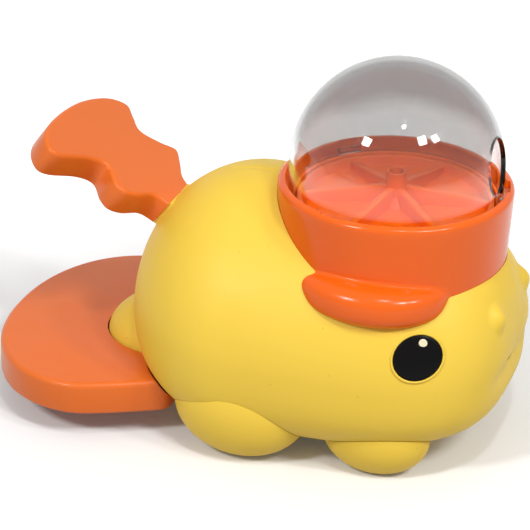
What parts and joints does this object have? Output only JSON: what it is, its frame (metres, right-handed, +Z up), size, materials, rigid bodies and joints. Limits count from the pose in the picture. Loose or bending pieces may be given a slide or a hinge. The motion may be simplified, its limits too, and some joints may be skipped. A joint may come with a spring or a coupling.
{
  "type": "treat dispensing toy",
  "caption": "Animal-shaped treat dispenser: a round hollow body with a clear dome on its back, a turning dish under the dome and a rear foot pedal that drives the dish.",
  "frame": {"origin": "on the floor, midway between the snout and the rear edge of the pedal, in the plane between the two body shells", "axes": "+X towards the snout, +Y to the animal's left, +Z up along the dome's axis"},
  "size_m": [0.2294, 0.131, 0.168],
  "materials": {
    "yellow_shell": "satin, moulded",
    "gloss_orange": "gloss, moulded",
    "satin_orange": "satin, moulded",
    "clear_plastic": "clear, polished",
    "gear_plastic": "natural, moulded",
    "steel": "bright",
    "rubber_pad": "matt",
    "black_eye": "gloss"
  },
  "bodies": {
    "body": {"body_right_shell": "yellow_shell", "body_left_shell": "yellow_shell", "cap_ring": "gloss_orange", "rotor_bush": "gear_plastic", "gear_deck": "gear_plastic", "pivot_pin": "steel", "return_spring": "steel", "tail": "satin_orange", "foot_front_right": "yellow_shell", "foot_front_left": "yellow_shell", "foot_rear_right": "yellow_shell", "foot_rear_left": "yellow_shell", "foot_pads": "rubber_pad", "eye_right": "black_eye", "eye_left": "black_eye", "body_screws": "steel", "deck_screws": "steel", "cap_screws": "steel"},
    "pedal": {"pedal_cover": "satin_orange", "pedal_lever": "gear_plastic", "pedal_pads": "rubber_pad", "pedal_screws": "steel"},
    "rack": {"drive_rack": "gear_plastic"},
    "rotor": {"rotor_shaft": "steel", "rotor_pinion": "gear_plastic", "turntable": "gloss_orange", "rotor_screw": "steel"},
    "dome": {"dome": "clear_plastic"}
  },
  "joints": [
    {"name": "pedal_press", "type": "hinge", "parent": "body", "child": "pedal", "pos_m": [-0.01625, 0, 0.022], "axis": [0, -1, 0], "range_deg": [0, 7], "stiffness_Nm_per_rad": 0.5, "springref_deg": -17.19, "deforming": ["return_spring"]},
    {"name": "rack_slide", "type": "slide", "parent": "body", "child": "rack", "axis": [-1, 0, 0], "range_m": [0, 0.0063]},
    {"name": "rotor_spin", "type": "hinge", "parent": "body", "child": "rotor", "pos_m": [0.05875, 0, 0.1], "axis": [0, 0, 1], "range_deg": [0, 60.5]},
    {"name": "dome_lift", "type": "slide", "parent": "body", "child": "dome", "axis": [0, 0, 1], "range_m": [0, 0.08]}
  ],
  "couplings": [
    {"joint": "rack_slide", "follows": "pedal_press", "m_per_rad": 0.0514},
    {"joint": "rotor_spin", "follows": "pedal_press", "ratio": 8.5667}
  ]
}
